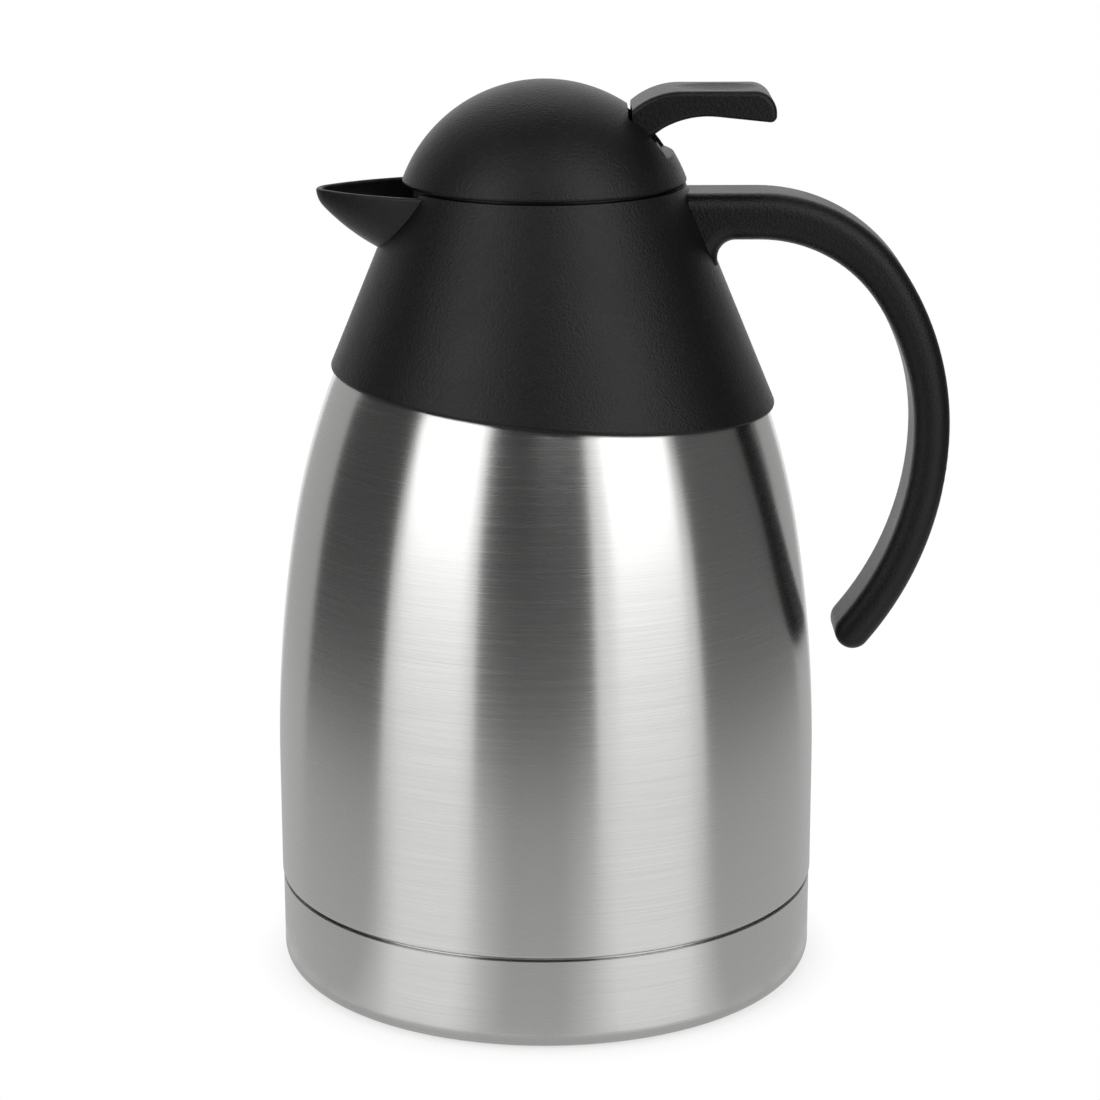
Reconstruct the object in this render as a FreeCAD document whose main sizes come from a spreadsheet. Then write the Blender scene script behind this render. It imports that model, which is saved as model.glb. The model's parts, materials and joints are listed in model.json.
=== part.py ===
import FreeCAD, Part
import math
import operator
import os
from types import SimpleNamespace

import Sketcher
from FreeCAD import Vector

# Thermal jug: double-walled steel flask, plastic collar with spout and handle, and a lid whose thumb
# lever lifts a sprung valve. Z is the flask's axis with the base on Z = 0, the handle is towards +X.

# Driving sizes in millimetres and degrees. Heights are measured from the surface the jug stands on.
SIZES = {
    # Steel barrel and its shoulder, as tangent arcs
    "barrel_radius": 70.0,
    "belly_start": 55.7,
    "belly_share": 0.465,
    "shoulder_lean": 1.183,
    "shoulder_end": 153.7,
    "shoulder_gap": 1.9,
    "neck_curve": 9.3,
    "neck_foot": 185.4,
    "neck_radius": 31.0,
    "mouth_height": 190.0,
    "shell_wall": 0.6,
    "shell_hem": 1.2,
    "spigot_foot": 8.0,
    # Steel bottle inside it
    "vacuum_gap": 5.4,
    "mouth_radius": 27.9,
    "liner_floor": 20.0,
    "liner_corner": 16.0,
    # Bottom of the vacuum space
    "vacuum_base_height": 13.0,
    "vacuum_base_flange": 4.0,
    "pump_hole_radius": 2.0,
    "plug_radius": 3.5,
    "plug_rise": 1.2,
    "getter_radius": 7.0,
    "getter_height": 2.2,
    "getter_offset": 24.0,
    # Base cup
    "base_step": 0.25,
    "base_height": 24.0,
    "base_wall": 0.8,
    "base_round": 5.0,
    "foot_width": 9.75,
    "foot_recess": 1.8,
    "seam_gap": 0.6,
    # Collar cone
    "collar_top": 205.9,
    "collar_top_radius": 35.7,
    "collar_slope": 22.5,
    "collar_wall": 2.2,
    "collar_edge_wall": 1.4,
    "collar_edge_height": 154.6,
    "collar_edge_tilt": 5.1,
    "collar_edge_round": 0.8,
    # Spout, a half body of revolution under its rim
    "spout_reach": 57.6,
    "spout_rim": 205.1,
    "spout_tip_curve": 7.0,
    "spout_tip_turn": 44.0,
    "spout_beak_curve": 54.7,
    "spout_beak_turn": 75.0,
    "spout_wall": 1.6,
    "spout_root": 12.0,
    "spout_rim_round": 0.65,
    # Funnel and gasket on the neck
    "gasket_height": 1.0,
    "funnel_wall": 1.6,
    "funnel_skirt": 4.0,
    "funnel_drop": 2.6,
    # Handle
    "handle_width": 21.0,
    "handle_top": 204.4,
    "handle_reach": 103.3,
    "handle_mid_height": 143.0,
    "handle_bend_start": 54.0,
    "handle_root_thick": 11.8,
    "handle_thick": 9.2,
    "handle_tail_curve": 88.0,
    "handle_tail_turn": 39.5,
    "handle_root_round": 4.5,
    "handle_edge_round": 4.3,
    # Lid dome
    "dome_radius": 38.3,
    "dome_top": 232.0,
    "dome_wall": 2.2,
    "dome_rim_round": 0.6,
    "lid_gap": 0.7,
    "slot_end": 20.8,
    "slot_foot": 213.8,
    "slot_depth": 2.6,
    "slot_floor": 1.0,
    "slot_floor_top": 215.0,
    # Thumb lever
    "lever_width": 21.6,
    "lever_side_gap": 0.75,
    "lever_root_gap": 1.0,
    "lever_root_top": 225.6,
    "lever_top": 230.2,
    "lever_crest": 34.0,
    "lever_reach": 57.7,
    "lever_nose": 5.6,
    "lever_lip": 7.8,
    "lever_corner": 1.6,
    "lever_rake": 6.0,
    "lever_arch": 43.0,
    "lever_root": 29.5,
    "lever_root_thick": 9.2,
    "lever_edge_round": 1.4,
    "dish_length": 22.0,
    "dish_width": 14.0,
    "dish_depth": 0.9,
    "dish_place": 43.5,
    # Lever pivot and fork
    "pivot_reach": 22.0,
    "pivot_height": 214.5,
    "pin_radius": 1.5,
    "hub_radius": 2.6,
    "hub_meet": 60.0,
    "ear_radius": 3.2,
    "pin_length": 35.0,
    "fork_nose": 1.8,
    "fork_gap": 0.7,
    "fork_arm": 2.6,
    # Stopper
    "plug_gap": 1.0,
    "plug_foot": 168.0,
    "plug_wall": 2.2,
    "plug_floor": 2.4,
    "seat_radius": 8.0,
    "seal_height": 1.8,
    "seal_width": 3.4,
    "shoulder_height": 2.0,
    "flange_foot": 203.2,
    "flange_height": 3.0,
    "flange_rim": 1.6,
    "flange_rim_wall": 2.2,
    "port_width": 20.0,
    "port_height": 5.6,
    # Valve
    "stem_radius": 2.5,
    "stem_foot": 169.4,
    "valve_radius": 10.5,
    "valve_disc": 1.8,
    "valve_gasket_height": 1.2,
    "head_radius": 5.5,
    "head_height": 2.8,
    "head_lid": 0.8,
    "head_gap": 0.2,
    # Guide plate and its screws
    "guide_plate": 1.6,
    "bush_radius": 5.0,
    "bush_foot": 201.0,
    "bush_top": 211.0,
    "screw_circle": 28.0,
    "screw_radius": 1.2,
    "screw_bite": 2.2,
    "screw_head_radius": 2.3,
    "screw_head_height": 1.3,
    "screw_count": 3,
    # Spring
    "spring_wire": 1.1,
    "spring_radius": 6.4,
    "spring_turns": 6,
    # Clearances
    "fit": 0.2,
    "running_fit": 0.05,
    "joint_gap": 0.05,
}

# Edges whose heights differ by less than this are taken to be level, in millimetres
LEVEL_WITHIN = 0.01

doc = FreeCAD.newDocument("thermal_jug")
sheet = doc.addObject("Spreadsheet::Sheet", "Sizes")
for row, (alias, number) in enumerate(SIZES.items(), 1):
    sheet.set(f"A{row}", alias)
    sheet.set(f"B{row}", str(number))
    sheet.setAlias(f"B{row}", alias)
doc.recompute()

OPERATORS = {"+": operator.add, "-": operator.sub, "*": operator.mul, "/": operator.truediv}


class Dim:
    """A number together with the sheet formula that gives it."""

    def __init__(self, value, formula):
        self.value = value
        self.formula = formula

    def __add__(self, other):
        return combine(self, "+", other)

    def __radd__(self, other):
        return combine(other, "+", self)

    def __sub__(self, other):
        return combine(self, "-", other)

    def __rsub__(self, other):
        return combine(other, "-", self)

    def __mul__(self, other):
        return combine(self, "*", other)

    def __rmul__(self, other):
        return combine(other, "*", self)

    def __truediv__(self, other):
        return combine(self, "/", other)

    def __neg__(self):
        return combine(0, "-", self)


def dim(number):
    if isinstance(number, Dim):
        return number
    return Dim(float(number), str(float(number)))


def combine(left, sign, right):
    left = dim(left)
    right = dim(right)
    formula = f"({left.formula} {sign} {right.formula})"
    return Dim(OPERATORS[sign](left.value, right.value), formula)


def sine(angle):
    return Dim(math.sin(math.radians(angle.value)), f"sin({angle.formula})")


def cosine(angle):
    return Dim(math.cos(math.radians(angle.value)), f"cos({angle.formula})")


def tangent(angle):
    return Dim(math.tan(math.radians(angle.value)), f"tan({angle.formula})")


def arctangent(ratio):
    return Dim(math.degrees(math.atan(ratio.value)), f"atan({ratio.formula})")


def arcsine(ratio):
    return Dim(math.degrees(math.asin(ratio.value)), f"asin({ratio.formula})")


def root(square):
    return Dim(math.sqrt(square.value), f"sqrt({square.formula})")


d = SimpleNamespace(**{name: Dim(float(sheet.get(name)), f"Sizes.{name}") for name in SIZES})
ZERO = dim(0)
ALL_ROUND = dim(360)
HALF_TURN = dim(180)

# The finished sub-parts, by the name of their file
pieces = {}


class Outline:
    """A closed outline of lines and arcs, point by point; each arc sweeps under half a circle."""

    def __init__(self, x, y):
        self.points = [(dim(x), dim(y))]
        self.bends = []
        self.closing = None

    def line(self, x, y):
        self.points.append((dim(x), dim(y)))
        self.bends.append(None)

    def left(self, x, y, radius):
        self.points.append((dim(x), dim(y)))
        self.bends.append((dim(radius), 1))

    def right(self, x, y, radius):
        self.points.append((dim(x), dim(y)))
        self.bends.append((dim(radius), -1))


def circle(x, y, radius):
    """A circle as an outline of four quarter arcs."""
    outline = Outline(x + radius, y)
    outline.left(x, y + radius, radius)
    outline.left(x - radius, y, radius)
    outline.left(x, y - radius, radius)
    outline.closing = (radius, 1)
    return outline


def arc_geometry(start, end, radius, side):
    """The arc of a radius from start to end that turns left (side 1) or right (side -1)."""
    chord = end - start
    normal = Vector(-chord.y, chord.x, 0).normalize() * side
    rise = math.sqrt(max(radius**2 - chord.Length**2 / 4, 0))
    centre = start + chord / 2 + normal * rise
    first, last = (start, end) if side > 0 else (end, start)
    begin = math.atan2(first.y - centre.y, first.x - centre.x)
    finish = math.atan2(last.y - centre.y, last.x - centre.x)
    if finish < begin:
        finish += 2 * math.pi
    return Part.ArcOfCircle(Part.Circle(centre, Vector(0, 0, 1), radius), begin, finish)


def constrain(sketch, kind, *target, size):
    """Add a driving dimension and tie it to the sheet."""
    index = sketch.addConstraint(Sketcher.Constraint(kind, *target, size.value))
    sketch.setExpression(f"Constraints[{index}]", size.formula)


def place_point(sketch, shape, end, x, y):
    """Fix one end of a line or arc at sheet-driven coordinates."""
    for axis, kind, size in ((-2, "DistanceX", x), (-1, "DistanceY", y)):
        if size is ZERO:
            sketch.addConstraint(Sketcher.Constraint("PointOnObject", shape, end, axis))
        else:
            constrain(sketch, kind, -1, 1, shape, end, size=size)


def draw(sketch, outline):
    """Draw a closed outline whose points and radii follow the sheet."""
    bends = outline.bends + [outline.closing]
    count = len(bends)
    corners = [Vector(x.value, y.value, 0) for x, y in outline.points]
    shapes = []
    for index, bend in enumerate(bends):
        start = corners[index]
        end = corners[(index + 1) % count]
        if bend is None:
            shapes.append((sketch.addGeometry(Part.LineSegment(start, end)), 1, 2))
        else:
            radius, side = bend
            number = sketch.addGeometry(arc_geometry(start, end, radius.value, side))
            shapes.append((number, 1, 2) if side > 0 else (number, 2, 1))
    for index, (shape, first, last) in enumerate(shapes):
        after, after_first, _ = shapes[(index + 1) % count]
        sketch.addConstraint(Sketcher.Constraint("Coincident", shape, last, after, after_first))
        place_point(sketch, shape, first, *outline.points[index])
        if bends[index] is not None:
            constrain(sketch, "Radius", shape, size=bends[index][0])


def new_body(name):
    body = doc.addObject("PartDesign::Body", name)
    body.Label = name
    return body


def new_sketch(body, name, outline, plane="XZ_Plane"):
    sketch = body.newObject("Sketcher::SketchObject", f"{body.Name}_{name}")
    support = next(item for item in body.Origin.OriginFeatures if item.Role == plane)
    sketch.AttachmentSupport = [(support, "")]
    sketch.MapMode = "FlatFace"
    if outline is not None:
        draw(sketch, outline)
    return sketch


def add_axis(sketch, height):
    """A construction line across the sketch at a height, to revolve about."""
    reach = d.spout_reach
    start = Vector(-reach.value, height.value, 0)
    axis = sketch.addGeometry(Part.LineSegment(start, Vector(0, height.value, 0)), True)
    place_point(sketch, axis, 1, -reach, height)
    place_point(sketch, axis, 2, ZERO, height)


def add_feature(body, kind, name, sketch, **sizes):
    """Build a feature from a sketch, and see that a cut takes something away."""
    before = body.Tip.Shape.Volume if body.Tip else 0
    feature = body.newObject(f"PartDesign::{kind}", f"{body.Name}_{name}")
    feature.Profile = sketch
    for key, size in sizes.items():
        feature.setExpression(key, size.formula)
    return feature, before


def finish_feature(feature, kind, before):
    doc.recompute()
    if kind in ("Pocket", "Groove") and feature.Shape.Volume >= before:
        raise RuntimeError(f"{feature.Name} cuts nothing")


def turn(body, name, outline, kind="Revolution", angle=ALL_ROUND, axis_height=None):
    """Revolve an outline about the flask's axis, or about a level line at a height."""
    sketch = new_sketch(body, f"{name}_sketch", outline)
    axis = "V_Axis"
    if axis_height is not None:
        add_axis(sketch, axis_height)
        axis = "Axis0"
    feature, before = add_feature(body, kind, name, sketch, Angle=angle)
    feature.ReferenceAxis = (sketch, [axis])
    feature.Midplane = angle is not ALL_ROUND
    finish_feature(feature, kind, before)


def extrude(body, name, outline, length, kind="Pad", plane="XZ_Plane", both_sides=True):
    """Extrude an outline by a length, half to each side of its plane or all to one side."""
    sketch = new_sketch(body, f"{name}_sketch", outline, plane)
    feature, before = add_feature(body, kind, name, sketch, Length=length)
    feature.SideType = "Symmetric" if both_sides else "One side"
    finish_feature(feature, kind, before)


def round_edges(body, name, radius, chosen):
    """Fillet the edges of the body's last shape that the test picks."""
    base = body.Tip
    names = [f"Edge{number}" for number, edge in enumerate(base.Shape.Edges, 1) if chosen(edge)]
    feature = body.newObject("PartDesign::Fillet", f"{body.Name}_{name}")
    feature.Base = (base, names)
    feature.setExpression("Radius", radius.formula)
    doc.recompute()
    return feature


def level_edges(height):
    """Picks the straight side edges at a height; a fillet runs on from them along smooth corners."""
    return lambda edge: (
        edge.BoundBox.YLength < LEVEL_WITHIN and abs(edge.BoundBox.ZMin - height.value) < LEVEL_WITHIN
    )


def primitive(kind, name, place=(ZERO, ZERO, ZERO), **sizes):
    """A Part primitive whose sizes and place follow the sheet."""
    item = doc.addObject(f"Part::{kind}", name)
    for key, size in sizes.items():
        item.setExpression(key, size.formula)
    for axis, size in zip("xyz", place):
        item.setExpression(f".Placement.Base.{axis}", size.formula)
    return item


def crosswise(name, x, z, radius, length):
    """A cylinder along Y, centred on the plane of the handle."""
    item = primitive("Cylinder", name, (x, length / 2, z), Radius=radius, Height=length)
    item.Placement = FreeCAD.Placement(Vector(), FreeCAD.Rotation(Vector(1, 0, 0), 90))
    return item


def boolean(kind, name, base, tool):
    item = doc.addObject(f"Part::{kind}", name)
    item.Base = base
    item.Tool = tool
    return item


def keep(name, item):
    """Hand in an object as a sub-part."""
    item.Label = name
    pieces[name] = item


# Heights and radii that several pieces share
base_radius = d.barrel_radius - d.base_step
spigot_radius = base_radius - d.base_wall - d.fit
shell_foot = d.base_height + d.seam_gap
liner_offset = d.shell_wall + d.vacuum_gap
liner_radius = d.barrel_radius - liner_offset
liner_foot = d.liner_floor + d.liner_corner
liner_neck = d.mouth_radius + d.shell_wall
gasket_foot = d.mouth_height
funnel_foot = gasket_foot + d.gasket_height
seat_top = funnel_foot + d.funnel_wall
pour_floor = seat_top - d.funnel_drop
shoulder_foot = seat_top + d.seal_height
shoulder_top = shoulder_foot + d.shoulder_height
seat_inner_radius = d.mouth_radius + d.fit
plug_radius = d.mouth_radius - d.plug_gap
plug_bore = plug_radius - d.plug_wall
plug_floor_top = d.plug_foot + d.plug_floor
flange_top = d.flange_foot + d.flange_height
rim_top = flange_top + d.flange_rim
dome_centre = d.dome_top - d.dome_radius
dome_inner = d.dome_radius - d.dome_wall
dome_foot = d.collar_top + d.lid_gap
slot_width = d.lever_width + 2 * d.lever_side_gap
disc_foot = plug_floor_top + d.valve_gasket_height
disc_top = disc_foot + d.valve_disc
fork_height = d.pivot_height + d.hub_radius + d.lever_root_gap
head_foot = fork_height + d.fork_nose + d.head_gap
guide_top = flange_top + d.guide_plate


def cone_radius(height):
    """Outer radius of the collar's cone at a height."""
    return d.collar_top_radius + (d.collar_top - height) * tangent(d.collar_slope)


def sphere_radius(radius, height):
    """Radius of a sphere about the dome's centre, at a height."""
    rise = height - dome_centre
    return root(radius * radius - rise * rise)


# Flask


def flask_wall(inset, neck):
    """Barrel, shoulder and neck inset from the barrel's face: the points and radii, from below."""
    shoulder_x = cone_radius(d.shoulder_end) - d.shoulder_gap
    draw_in = d.barrel_radius - shoulder_x
    rise = d.shoulder_end - d.belly_start
    lean = 2 * d.shoulder_lean * arctangent(draw_in / rise)
    belly_lean = d.belly_share * lean
    belly_in = 1 - cosine(belly_lean)
    belly_up = sine(belly_lean)
    shoulder_in = cosine(belly_lean) - cosine(lean)
    shoulder_up = sine(lean) - sine(belly_lean)
    spread = shoulder_in * belly_up - belly_in * shoulder_up
    belly = (shoulder_in * rise - shoulder_up * draw_in) / spread - inset
    shoulder = (belly_up * draw_in - belly_in * rise) / spread - inset
    neck_in = shoulder_x - d.neck_radius - d.neck_curve
    neck_up = d.neck_foot - d.shoulder_end
    squares = neck_in * neck_in + neck_up * neck_up - d.neck_curve * d.neck_curve
    crown_curve = squares / (2 * (d.neck_curve + neck_in * cosine(lean) - neck_up * sine(lean)))
    crown = crown_curve - inset
    crown_x = shoulder_x - crown_curve * cosine(lean)
    crown_z = d.shoulder_end - crown_curve * sine(lean)
    crown_cosine = (d.neck_radius + d.neck_curve - crown_x) / (crown_curve + d.neck_curve)
    crown_sine = (d.neck_foot - crown_z) / (crown_curve + d.neck_curve)
    blend = (crown_x + crown * crown_cosine - neck) / (1 - crown_cosine)
    belly_end = d.barrel_radius - inset - belly * belly_in
    wall = [
        (d.barrel_radius - inset, d.belly_start, None),
        (belly_end, d.belly_start + belly * belly_up, belly),
        (shoulder_x - inset * cosine(lean), d.shoulder_end - inset * sine(lean), shoulder),
        (crown_x + crown * crown_cosine, crown_z + crown * crown_sine, crown),
    ]
    return wall, (neck, crown_z + (crown + blend) * crown_sine, blend)


def climb(outline, wall):
    """Follow a flask wall upwards to the end of its crown."""
    for x, z, radius in wall:
        if radius is None:
            outline.line(x, z)
        else:
            outline.left(x, z, radius)


def descend(outline, wall):
    """Follow a flask wall downwards from the end of its crown."""
    outline.line(*wall[-1][:2])
    for index in range(len(wall) - 1, 0, -1):
        x, z, _ = wall[index - 1]
        outline.right(x, z, wall[index][2])


def make_outer_shell():
    spigot_bore = spigot_radius - d.shell_wall
    hem_top = shell_foot + d.shell_hem
    hem_bore = d.shell_hem - d.shell_wall
    outline = Outline(spigot_bore, d.spigot_foot)
    outline.line(spigot_radius, d.spigot_foot)
    outline.line(spigot_radius, shell_foot)
    outline.line(d.barrel_radius - d.shell_hem, shell_foot)
    outline.left(d.barrel_radius, hem_top, d.shell_hem)
    climb(outline, flask_wall(ZERO, d.neck_radius)[0])
    descend(outline, flask_wall(d.shell_wall, d.neck_radius - d.shell_wall)[0])
    outline.line(d.barrel_radius - d.shell_wall, hem_top)
    outline.right(d.barrel_radius - d.shell_hem, hem_top - hem_bore, hem_bore)
    outline.line(spigot_bore, hem_top - hem_bore)
    body = new_body("outer_shell")
    turn(body, "wall", outline)
    keep("outer_shell", body)


def make_inner_liner():
    outline = Outline(liner_radius, liner_foot)
    climb(outline, flask_wall(liner_offset, liner_neck)[0])
    descend(outline, flask_wall(liner_offset + d.shell_wall, d.mouth_radius)[0])
    outline.line(liner_radius - d.shell_wall, liner_foot)
    body = new_body("inner_liner")
    turn(body, "wall", outline)
    keep("inner_liner", body)


def make_liner_bottom():
    floor_top = d.liner_floor + d.shell_wall
    outline = Outline(ZERO, d.liner_floor)
    outline.line(liner_radius - d.liner_corner, d.liner_floor)
    outline.left(liner_radius, liner_foot, d.liner_corner)
    outline.line(liner_radius - d.shell_wall, liner_foot)
    outline.right(liner_radius - d.liner_corner, floor_top, d.liner_corner - d.shell_wall)
    outline.line(ZERO, floor_top)
    body = new_body("liner_bottom")
    turn(body, "dish", outline)
    keep("liner_bottom", body)


def make_neck_ring():
    lip_foot = d.mouth_height - d.shell_wall
    shell_bore = d.neck_radius - d.shell_wall
    shell_face, shell_neck = flask_wall(ZERO, d.neck_radius)
    shell_inside, shell_inner_neck = flask_wall(d.shell_wall, shell_bore)
    liner_face, liner_outer_neck = flask_wall(liner_offset, liner_neck)
    liner_inside, liner_inner_neck = flask_wall(liner_offset + d.shell_wall, d.mouth_radius)
    outline = Outline(*shell_face[-1][:2])
    outline.right(*shell_neck)
    outline.line(d.neck_radius, d.mouth_height)
    outline.line(d.mouth_radius, d.mouth_height)
    outline.line(*liner_inner_neck[:2])
    outline.left(*liner_inside[-1][:2], liner_inner_neck[2])
    outline.line(*liner_face[-1][:2])
    outline.right(*liner_outer_neck)
    outline.line(liner_neck, lip_foot)
    outline.line(shell_bore, lip_foot)
    outline.line(*shell_inner_neck[:2])
    outline.left(*shell_inside[-1][:2], shell_inner_neck[2])
    body = new_body("neck_ring")
    turn(body, "ring", outline)
    keep("neck_ring", body)


def make_vacuum_base():
    rim = spigot_radius - d.shell_wall - d.running_fit
    foot = d.vacuum_base_height
    top = foot + d.shell_wall
    outline = Outline(d.pump_hole_radius, foot)
    outline.line(rim - d.shell_wall, foot)
    outline.line(rim - d.shell_wall, foot - d.vacuum_base_flange)
    outline.line(rim, foot - d.vacuum_base_flange)
    outline.line(rim, top)
    outline.line(d.pump_hole_radius, top)
    body = new_body("vacuum_base")
    turn(body, "disc", outline)
    keep("vacuum_base", body)


def make_vacuum_plug():
    foot = d.vacuum_base_height
    stem = d.pump_hole_radius - d.running_fit
    outline = Outline(ZERO, foot - d.plug_rise)
    outline.line(d.plug_radius - d.plug_rise / 2, foot - d.plug_rise)
    outline.line(d.plug_radius, foot)
    outline.line(stem, foot)
    outline.line(stem, foot + d.shell_wall)
    outline.line(ZERO, foot + d.shell_wall)
    body = new_body("vacuum_plug")
    turn(body, "bead", outline)
    keep("vacuum_plug", body)


def make_getter():
    place = (d.getter_offset, ZERO, d.vacuum_base_height + d.shell_wall)
    keep("getter", primitive("Cylinder", "getter", place, Radius=d.getter_radius, Height=d.getter_height))


def make_base_cup():
    bore = base_radius - d.base_wall
    floor_round = d.base_round - d.base_wall
    foot_outer = base_radius - d.base_round
    foot_inner = foot_outer - d.foot_width
    recess_foot = foot_inner - d.foot_recess
    outline = Outline(ZERO, d.foot_recess)
    outline.line(recess_foot, d.foot_recess)
    outline.line(foot_inner, ZERO)
    outline.line(foot_outer, ZERO)
    outline.left(base_radius, d.base_round, d.base_round)
    outline.line(base_radius, d.base_height)
    outline.line(bore, d.base_height)
    outline.line(bore, d.base_round)
    outline.right(foot_outer, d.base_wall, floor_round)
    outline.line(foot_inner + d.base_wall, d.base_wall)
    outline.line(recess_foot + d.base_wall, d.foot_recess + d.base_wall)
    outline.line(ZERO, d.foot_recess + d.base_wall)
    body = new_body("base_cup")
    turn(body, "wall", outline)
    keep("base_cup", body)


# Collar, funnel and handle


def spout_outline(inset, end):
    """Half section of the spout below its rim line, inset from its outer face."""
    tip = d.spout_tip_curve - inset
    beak = d.spout_beak_curve - inset
    tip_x = d.spout_tip_curve - d.spout_reach
    step = d.spout_beak_curve - d.spout_tip_curve
    beak_x = tip_x + step * cosine(d.spout_tip_turn)
    beak_z = d.spout_rim + step * sine(d.spout_tip_turn)
    beak_end = beak_z - beak * sine(d.spout_beak_turn)
    outline = Outline(tip_x - tip, d.spout_rim)
    outline.left(
        tip_x - tip * cosine(d.spout_tip_turn), d.spout_rim - tip * sine(d.spout_tip_turn), tip
    )
    outline.left(beak_x - beak * cosine(d.spout_beak_turn), beak_end, beak)
    outline.line(end, beak_end)
    outline.line(end, d.spout_rim)
    return outline


def make_collar():
    drop = 2 * d.barrel_radius * tangent(d.collar_edge_tilt)
    foot = d.collar_edge_height - drop
    thin_top = d.collar_edge_height + drop / 2
    full_wall = thin_top + drop / 2
    reach = 2 * d.barrel_radius
    body = new_body("collar")
    cone = Outline(ZERO, foot)
    cone.line(cone_radius(foot), foot)
    cone.line(d.collar_top_radius, d.collar_top)
    cone.line(ZERO, d.collar_top)
    turn(body, "cone", cone)
    root_end = -(d.collar_top_radius - d.spout_root)
    spout = spout_outline(ZERO, root_end)
    turn(body, "spout", spout, angle=HALF_TURN, axis_height=d.spout_rim)
    bore = Outline(ZERO, foot)
    bore.line(cone_radius(foot) - d.collar_edge_wall, foot)
    bore.line(cone_radius(thin_top) - d.collar_edge_wall, thin_top)
    bore.line(cone_radius(full_wall) - d.collar_wall, full_wall)
    bore.line(d.collar_top_radius - d.collar_wall, d.collar_top)
    bore.line(ZERO, d.collar_top)
    turn(body, "bore", bore, kind="Groove")
    channel = spout_outline(d.spout_wall, root_end)
    turn(body, "channel", channel, kind="Groove", axis_height=d.spout_rim)
    slant = Outline(-reach, d.collar_edge_height + drop)
    slant.line(-reach, foot - drop)
    slant.line(reach, foot - drop)
    slant.line(reach, d.collar_edge_height - drop)
    extrude(body, "slant", slant, 2 * reach, kind="Pocket")
    edge_width = 2 * cone_radius(d.collar_edge_height) - d.collar_edge_wall
    round_edges(
        body, "edge", d.collar_edge_round, lambda edge: edge.BoundBox.YLength > edge_width.value
    )
    round_edges(
        body,
        "rim",
        d.spout_rim_round,
        lambda edge: abs(edge.BoundBox.ZMin - d.spout_rim.value) < LEVEL_WITHIN
        and edge.BoundBox.ZLength < LEVEL_WITHIN
        and edge.BoundBox.XMin < -d.collar_top_radius.value,
    )
    keep("collar", body)


def make_neck_gasket():
    outline = Outline(seat_inner_radius, gasket_foot)
    outline.line(d.neck_radius, gasket_foot)
    outline.line(d.neck_radius, funnel_foot)
    outline.line(seat_inner_radius, funnel_foot)
    body = new_body("neck_gasket")
    turn(body, "ring", outline)
    keep("neck_gasket", body)


def make_funnel():
    skirt_bore = d.neck_radius + d.fit
    skirt = skirt_bore + d.funnel_wall
    plate_foot = pour_floor - d.funnel_wall
    edge = d.collar_wall + d.fit
    outline = Outline(seat_inner_radius, funnel_foot)
    outline.line(skirt_bore, funnel_foot)
    outline.line(skirt_bore, d.mouth_height - d.funnel_skirt)
    outline.line(skirt, d.mouth_height - d.funnel_skirt)
    outline.line(skirt, plate_foot)
    outline.line(cone_radius(plate_foot) - edge, plate_foot)
    outline.line(cone_radius(pour_floor) - edge, pour_floor)
    outline.line(skirt, pour_floor)
    outline.line(skirt, seat_top)
    outline.line(seat_inner_radius, seat_top)
    body = new_body("funnel")
    turn(body, "ring", outline)
    keep("funnel", body)


def tangent_radius(across, drop):
    """Radius of an arc that is level at one end and drops by so much over a distance."""
    return (across * across + drop * drop) / (2 * drop)


def quarter_bend(top_x, top_z, side_x, side_z):
    """Two tangent arcs from a level run to an upright one: where they meet, and their radii."""
    across = side_x - top_x
    down = top_z - side_z
    total = across + down
    arm = (root(total * total + 2 * (across * across + down * down)) - total) / 2
    meet_x = (top_x + side_x + arm) / 2
    meet_z = (top_z + side_z + arm) / 2
    first = tangent_radius(meet_x - top_x, top_z - meet_z)
    second = tangent_radius(meet_z - side_z, side_x - meet_x)
    return meet_x, meet_z, first, second


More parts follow.
